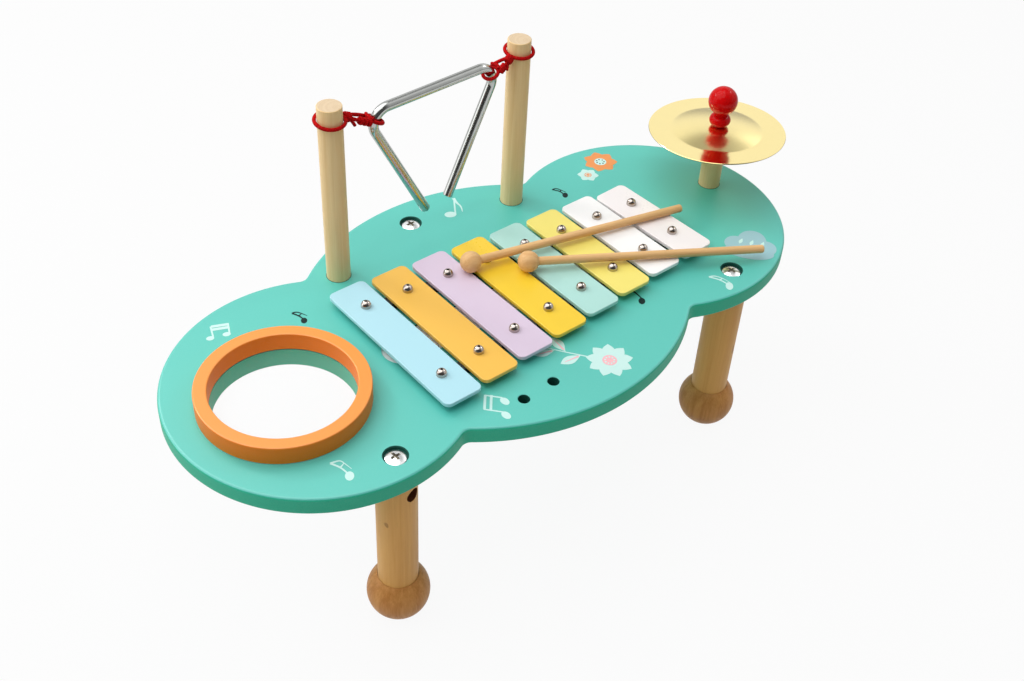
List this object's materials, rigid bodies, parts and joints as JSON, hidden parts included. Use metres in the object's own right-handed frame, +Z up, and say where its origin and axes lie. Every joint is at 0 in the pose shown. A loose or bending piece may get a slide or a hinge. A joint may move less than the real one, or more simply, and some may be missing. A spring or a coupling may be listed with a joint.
{
  "type": "toy musical activity table",
  "caption": "Low three-lobed toy music table on ball-footed legs, with drum, metallophone and mallets, hanging triangle and cymbal.",
  "frame": {"origin": "on the floor under the middle of the whole table, cymbal included", "axes": "+X along the table from the drum to the cymbal, +Y to the side that the triangle stands on, +Z up"},
  "size_m": [0.5842, 0.284, 0.3225],
  "materials": {
    "mint_board": "satin paint",
    "orange_ring": "satin paint",
    "pine": "clear satin",
    "chrome": "polished",
    "zinc": "bright zinc",
    "gold_sheet": "polished",
    "red_gloss": "gloss paint",
    "red_cord": "matt",
    "felt": "matt",
    "clear_film": "clear",
    "bar_blue": "gloss enamel",
    "bar_orange": "gloss enamel",
    "bar_lilac": "gloss enamel",
    "bar_gold": "gloss enamel",
    "bar_mint": "gloss enamel",
    "bar_yellow": "gloss enamel",
    "bar_white": "gloss enamel",
    "bar_pink": "gloss enamel"
  },
  "bodies": {
    "table": {"table_top": "mint_board", "drum_ring": "orange_ring", "drum_film": "clear_film", "felt_strip_back": "felt", "felt_strip_front": "felt", "left_post": "pine", "right_post": "pine", "left_cord_tie": "red_cord", "right_cord_tie": "red_cord", "cymbal_post": "pine", "cymbal_washer": "felt", "cymbal_pin": "zinc", "cymbal_knob": "red_gloss", "bar_1": "bar_blue", "bar_2": "bar_orange", "bar_3": "bar_lilac", "bar_4": "bar_gold", "bar_5": "bar_mint", "bar_6": "bar_yellow", "bar_7": "bar_white", "bar_8": "bar_pink", "bar_screw_1_back": "chrome", "bar_screw_1_front": "chrome", "bar_screw_2_back": "chrome", "bar_screw_2_front": "chrome", "bar_screw_3_back": "chrome", "bar_screw_3_front": "chrome", "bar_screw_4_back": "chrome", "bar_screw_4_front": "chrome", "bar_screw_5_back": "chrome", "bar_screw_5_front": "chrome", "bar_screw_6_back": "chrome", "bar_screw_6_front": "chrome", "bar_screw_7_back": "chrome", "bar_screw_7_front": "chrome", "bar_screw_8_back": "chrome", "bar_screw_8_front": "chrome", "front_left_leg": "pine", "front_left_foot": "pine", "front_left_bolt": "zinc", "front_left_barrel_nut": "zinc", "front_right_leg": "pine", "front_right_foot": "pine", "front_right_bolt": "zinc", "front_right_barrel_nut": "zinc", "back_leg": "pine", "back_foot": "pine", "back_bolt": "zinc", "back_barrel_nut": "zinc"},
    "triangle": {"triangle": "chrome"},
    "cymbal": {"cymbal": "gold_sheet"},
    "mallet_back": {"mallet_back_head": "pine", "mallet_back_stick": "pine"},
    "mallet_front": {"mallet_front_head": "pine", "mallet_front_stick": "pine"}
  },
  "joints": [
    {"name": "triangle_swing", "type": "hinge", "parent": "table", "child": "triangle", "pos_m": [-0.00661, 0.0915, 0.2984], "axis": [0.9997, 0, 0.0227], "range_deg": [-30, 30]},
    {"name": "cymbal_spin", "type": "hinge", "parent": "table", "child": "cymbal", "pos_m": [0.23363, 0.0082, 0.2224], "axis": [0.0289, 0.0609, 0.9977], "continuous": true},
    {"name": "mallet_back_lift", "type": "slide", "parent": "table", "child": "mallet_back", "axis": [0, 0, 1], "range_m": [0, 0.12]},
    {"name": "mallet_front_lift", "type": "slide", "parent": "table", "child": "mallet_front", "axis": [0, 0, 1], "range_m": [0, 0.12]}
  ]
}
